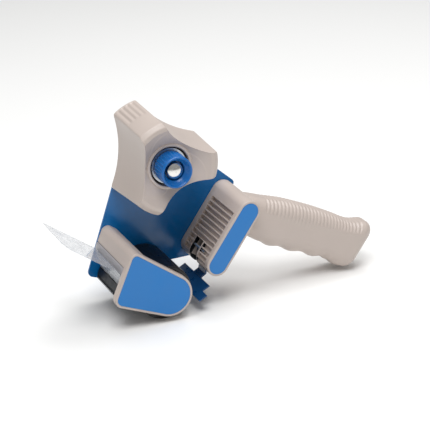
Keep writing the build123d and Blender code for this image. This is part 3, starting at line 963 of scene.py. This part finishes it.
def grip_ring(station, inset, settings):
    """Points round the grip at a distance along it, with its ribs and finger scallops."""
    top, under, half, corner = grip_section(station)
    wave = math.cos(FULL_TURN * (station - 20.0) / SCALLOP_PITCH)
    under -= settings.scallop / MM * wave * bell(station, *SCALLOP_SPAN, 9.0)
    half, top, under = half - inset, top - inset, under + inset
    corner = max(2.0, corner - inset)
    ring = []
    corners = [(half - corner, top - corner, 0.0), (-half + corner, top - corner, 90.0),
               (-half + corner, under + corner, 180.0), (half - corner, under + corner, 270.0)]
    for across, rise, start in corners:
        for step in range(QUARTER + 1):
            angle = (start + 90.0 * step / QUARTER) * DEGREE
            ring.append((across + corner * math.cos(angle), rise + corner * math.sin(angle),
                         math.cos(angle), math.sin(angle)))
        if start in (90.0, 270.0):
            side = ring[-1]
            goal = corners[2 if start == 90.0 else 0][1]
            for step in range(1, 8):
                ring.append((side[0], side[1] + (goal - side[1]) * step / 8.0, side[2], side[3]))
    pitch, depth = settings.rib_pitch / MM, settings.rib_depth / MM
    wave = (0.5 - 0.5 * math.cos(FULL_TURN * (station - RIB_START) / pitch)) ** 0.7
    along_fade = bell(station, *RIB_SPAN, 1.0)
    limit = 8.6 + 2.4 * max(0.0, station - 40.0) / 55.0
    points = []
    for across, rise, out_across, out_rise in ring:
        fade = clamp((rise - limit) / 1.5 + 0.5)
        sink = depth * (1.0 - wave) * along_fade * fade
        points.append((across - out_across * sink, rise - out_rise * sink))
    return points


def on_grip(station, rise, across):
    """Point on the plate from distances along, above and beside the grip's axis."""
    lean = GRIP_LEAN * DEGREE
    return (GRIP_START[0] + station * math.cos(lean) - rise * math.sin(lean),
            GRIP_START[1] + station * math.sin(lean) + rise * math.cos(lean), GRIP_MIDDLE + across)


class DISPENSER_OT_handle(bpy.types.Operator):
    """Build the handle, from its louvred block to the butt of the grip"""
    bl_idname = "dispenser.handle"
    bl_label = "Handle"

    def execute(self, context):
        settings = context.scene.dispenser_handle
        block = self.block(settings)
        combine(block, [self.grip(settings)], "UNION")
        shade(block, 35.0)
        # The second material, the near-black blade finish, is painted shade on the faces inside the
        # spring recess.
        finish_piece(block, "frame", "beige_abs", ["handle"],
                     [FINISHES["beige_abs"], FINISHES["blade_steel"]])
        self.paint_recess_shade(block)
        low, high = BAIL_SPAN
        profile = [(0.01, low), (1.0, low), (1.0, high), (0.01, high)]
        bail = shape("bail", turned(profile, on_block(*BAIL_SEAT), 24))
        shade(bail, 60.0)
        finish_piece(bail, "frame", "zinc_steel", ["spring_bail"], [FINISHES["bright_wire"]])
        return {"FINISHED"}

    def paint_recess_shade(self, block):
        """Paints the faces inside the spring recess with the near-black blade finish: painted shade, not
        a real lining.
        """
        off_plate = STAND.inverted()
        lean = BLOCK_LEAN * DEGREE
        for face in block.data.polygons:
            x, y, z = off_plate @ face.center
            spot = (x * math.sin(lean) - y * math.cos(lean), x * math.cos(lean) + y * math.sin(lean), z)
            inside = all(low < value < high for value, (low, high) in zip(spot, RECESS_SHADE_BOX))
            face.material_index = int(inside)

    def block(self, settings):
        """The upright block with its louvres, spring recess and inlaid panel."""
        radius, front = settings.block_radius / MM, settings.block_front / MM
        circles = [(*on_block(*end), radius) for end in BLOCK_ENDS]
        rings = [lift(band(circles, 0.4), 0.0), lift(band(circles), 0.4)]
        rings += rounded_front(circles, front, BLOCK_EDGE, BLOCK_RIM)
        block = shape("handle_moulding", skin(rings))
        cutters = []
        pitch, land = settings.louvre_pitch / MM, settings.louvre_land / MM
        for louvre in range(LOUVRES):
            along = (LOUVRE_START - pitch * (louvre + 1), LOUVRE_START - pitch * louvre - land)
            spans = [LOUVRE_SPAN] if louvre < FULL_LOUVRES else [(30.0, LOUVRE_SPAN[1])]
            if FULL_LOUVRES <= louvre < LOUVRES - 1:
                spans.append((LOUVRE_SPAN[0], 16.0))
            for low, high in spans:
                cutters.append(shape("louvre", block_box(LOUVRE_FLOOR, along, low, high)))
        for name, (across, along, low, high) in SPRING_CUTS.items():
            cutters.append(shape(name, block_box(across, along, low, high)))
        combine(block, cutters, "DIFFERENCE")
        soften(block, 0.2, 2, 40.0)
        inlaid_panel("handle_panel", circles, front, BLOCK_RIM, "handle_inlay")
        return block

    def grip(self, settings):
        """The ribbed grip, swept from inside the block to its flared butt."""
        stations = [-15.0 + step for step in range(19)]
        stations += [4.0 + 0.35 * step for step in range(1, 262)]
        rings = [self.grip_points(station, 0.0, settings) for station in stations]
        start = stations[-1]
        for turn in range(1, 10):
            angle = 10.0 * turn * DEGREE
            station = GRIP_END - GRIP_ROUND + GRIP_ROUND * math.sin(angle)
            if station > start + 0.2:
                rings.append(self.grip_points(station, GRIP_ROUND * (1.0 - math.cos(angle)), settings))
        return shape("grip", skin(rings))

    def grip_points(self, station, inset, settings):
        """One ring of the grip, slanted towards the butt."""
        slant = GRIP_SLANT * clamp((station - 60.0) / 38.0)
        return [on_grip(station + slant * (rise - 20.5), rise, across)
                for across, rise in grip_ring(station, inset, settings)]


# ---- Hold-back plate ----
STRIP_TOP = Vector((29.2, -95.2))
STRIP_ACROSS = Vector((-0.867, -0.499))
STRIP_OFF = Vector((-0.499, 0.867))
STRIP_THICK = 1.2
STRIP_SHAPE = [(0.0, 1.0), (13.4, 1.0), (13.4, 54.4), (6.4, 54.4), (6.4, 46.0), (0.0, 46.0)]
TAB_SPAN = (17.4, 30.0)
TAB_GAP = (20.4, 27.0)


def on_strip(across, off):
    """Point on the hold-back plate's section: distance towards the roller, and off its face."""
    return STRIP_TOP + STRIP_ACROSS * across + STRIP_OFF * off


class DISPENSER_OT_hold_back(bpy.types.Operator):
    """Build the sprung hold-back plate behind the roller"""
    bl_idname = "dispenser.hold_back"
    bl_label = "Hold-back plate"

    def execute(self, context):
        pin = Vector(on_block(*PIN_SEAT))
        plate = shape("hold_back", skin([[(*on_strip(across, off), z) for across, z in STRIP_SHAPE]
                                         for off in (0.0, -STRIP_THICK)]))
        tab = [on_strip(1.0, 0.0), on_strip(-4.2, 0.0), pin + Vector((0.9, -1.5)),
               pin + Vector((2.1, -1.3)), on_strip(-4.9, -STRIP_THICK), on_strip(1.0, -STRIP_THICK)]
        tab = shape("tab", slab(tab, *TAB_SPAN))
        gap = [(pin.x + right, pin.y + up) for right, up in ((-8, -5), (8, -5), (8, 8), (-8, 8))]
        combine(tab, [shape("gap", slab(gap, *TAB_GAP))], "DIFFERENCE")
        ears = []
        for low, high in zip((TAB_SPAN[0], TAB_GAP[1]), (TAB_GAP[0], TAB_SPAN[1])):
            profile = [(1.45, low), (2.5, low), (2.5, high), (1.45, high)]
            ears.append(shape("ear", turned(profile, pin, 40)))
        combine(plate, [tab], "UNION")
        soften(plate, 0.25)
        combine(plate, ears, "UNION")
        shade(plate)
        finish_piece(plate, "hold_back", "navy_steel", ["hold_back_plate"])
        return {"FINISHED"}


# ---- Small hardware kept from the frame ----
HARDWARE = {
    "zinc_steel": ["handle_screws", "cover_screw", "carrier_screw", "hub_axle", "roller_axle",
                   "roller_spacers", "pressure_washer", "blade_rivets", "hinge_pin"],
    "spring_steel": ["brake_spring", "torsion_spring"],
    "chrome": ["dome_nut"],
    "white_nylon": ["hub_bush", "roller_bushes", "roller_core"],
    "felt": ["brake_disc"],
    "brass": ["knob_insert"],
}


class DISPENSER_OT_hardware(bpy.types.Operator):
    """Give the screws, axles, springs and bushes their finishes"""
    bl_idname = "dispenser.hardware"
    bl_label = "Hardware"

    def execute(self, context):
        for slot, names in HARDWARE.items():
            for name in names:
                self.dress(frame["nodes"][name], slot)
        for part in frame["nodes"].values():
            if part.hide_render:
                self.dress(part, "beige_abs")
        self.spring(frame["nodes"]["brake_spring"])
        return {"FINISHED"}

    def dress(self, part, slot):
        """Gives a CAD node its finish."""
        part.data.materials.clear()
        part.data.materials.append(FINISHES[slot])

    def spring(self, node):
        """A copy of the brake spring, in spring steel on the frame, standing for the real spring that
        shortens as the knob is screwed in.
        """
        coil = bpy.data.objects.new("brake_coil", node.data.copy())
        bpy.context.scene.collection.objects.link(coil)
        coil.matrix_world = node.matrix_world
        finish_piece(coil, "frame", "spring_steel", ["brake_spring"])
        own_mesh(coil)


# ---- Stage ----
AIM = (43.1, -50.5, 25.0)
FLOOR_REACH = 4.0
LAMP_AIM = Vector((0.0, 0.0, 0.05))
LAMP_WIDTH = 0.8


class DISPENSER_OT_stage(bpy.types.Operator):
    """Set the floor, the lights and the camera"""
    bl_idname = "dispenser.stage"
    bl_label = "Stage"

    def execute(self, context):
        settings = context.scene.dispenser_stage
        make_finishes(context.scene.dispenser_finishes)
        self.floor(context.scene.dispenser_finishes.floor)
        self.camera(context.scene, settings)
        self.lights(context.scene, settings)
        context.scene.view_settings.view_transform = "Standard"
        return {"FINISHED"}

    def floor(self, rgb):
        """A wide pale floor."""
        mesh = bpy.data.meshes.new("floor")
        corners = [(FLOOR_REACH * x, FLOOR_REACH * y, 0) for x, y in ((-1, -1), (1, -1), (1, 1), (-1, 1))]
        mesh.from_pydata(corners, [], [(0, 1, 2, 3)])
        floor = bpy.data.objects.new("floor", mesh)
        bpy.context.scene.collection.objects.link(floor)
        material, tree, shader = blank("studio_paper_matt", {"Roughness": 0.9})
        mottle(tree, shader, rgb, 300.0, 0.01)
        mesh.materials.append(material)

    def camera(self, scene, settings):
        """The camera, turned with the plate that it looks at."""
        flat, rise = settings.azimuth, settings.elevation
        back = Vector((math.sin(flat) * math.cos(rise), math.sin(rise), math.cos(flat) * math.cos(rise)))
        right = Vector((math.cos(flat), 0.0, -math.sin(flat)))
        turn = STAND.to_3x3().normalized()
        back, right = turn @ back, turn @ right
        up = back.cross(right)
        lens = bpy.data.cameras.new("camera")
        lens.lens = settings.lens
        lens.sensor_width = 36.0
        lens.clip_end = 20.0
        camera = bpy.data.objects.new("camera", lens)
        scene.collection.objects.link(camera)
        place = STAND @ Vector(AIM) + back * settings.distance
        camera.matrix_world = Matrix.Translation(place) @ Matrix((right, up, back)).transposed().to_4x4()
        scene.camera = camera

    def lights(self, scene, settings):
        """A soft key light, a second one above the back, and even light all round."""
        lamps = (("key", (-0.3, -0.5, 1.35), settings.key_power),
                 ("top", (0.35, 0.3, 1.3), settings.key_power * 0.7))
        for name, place, power in lamps:
            lamp = bpy.data.lights.new(name, "AREA")
            lamp.shape = "SQUARE"
            lamp.size = LAMP_WIDTH
            lamp.energy = power
            light = bpy.data.objects.new(name, lamp)
            scene.collection.objects.link(light)
            towards = LAMP_AIM - Vector(place)
            light.matrix_world = (Matrix.Translation(place)
                                  @ towards.to_track_quat("-Z", "Y").to_matrix().to_4x4())
        world = bpy.data.worlds.new("room")
        world.use_nodes = True
        world.node_tree.nodes["Background"].inputs["Color"].default_value = linear("#FFFFFF")
        world.node_tree.nodes["Background"].inputs["Strength"].default_value = settings.sky
        scene.world = world


BUILD_ORDER = [DISPENSER_OT_stage, DISPENSER_OT_side_plate, DISPENSER_OT_hub, DISPENSER_OT_knob,
               DISPENSER_OT_roller, DISPENSER_OT_cover, DISPENSER_OT_blade, DISPENSER_OT_flap,
               DISPENSER_OT_handle, DISPENSER_OT_hold_back, DISPENSER_OT_hardware]


class DISPENSER_PT_panel(bpy.types.Panel):
    """Lists the dispenser's settings and pieces"""
    bl_idname = "DISPENSER_PT_panel"
    bl_label = "Tape dispenser"
    bl_space_type = "VIEW_3D"
    bl_region_type = "UI"
    bl_category = "Dispenser"

    def draw(self, context):
        for name in SETTINGS:
            box = self.layout.box()
            group = getattr(context.scene, name)
            for key in group.bl_rna.properties.keys():
                if key not in ("rna_type", "name"):
                    box.prop(group, key)
        for operator in BUILD_ORDER:
            self.layout.operator(operator.bl_idname)


SETTINGS = {"dispenser_hub": HubSettings, "dispenser_cover": CoverSettings,
            "dispenser_handle": HandleSettings, "dispenser_finishes": FinishSettings,
            "dispenser_stage": StageSettings}


def register():
    """Adds the settings, the operators and the panel."""
    for name, group in SETTINGS.items():
        bpy.utils.register_class(group)
        setattr(bpy.types.Scene, name, PointerProperty(type=group))
    for operator in BUILD_ORDER:
        bpy.utils.register_class(operator)
    bpy.utils.register_class(DISPENSER_PT_panel)


def unregister():
    """Takes them away again."""
    bpy.utils.unregister_class(DISPENSER_PT_panel)
    for operator in reversed(BUILD_ORDER):
        bpy.utils.unregister_class(operator)
    for name, group in SETTINGS.items():
        delattr(bpy.types.Scene, name)
        bpy.utils.unregister_class(group)


def main():
    """Builds every piece in order."""
    register()
    for operator in BUILD_ORDER:
        group, name = operator.bl_idname.split(".")
        getattr(getattr(bpy.ops, group), name)()


if __name__ == "__main__":
    main()
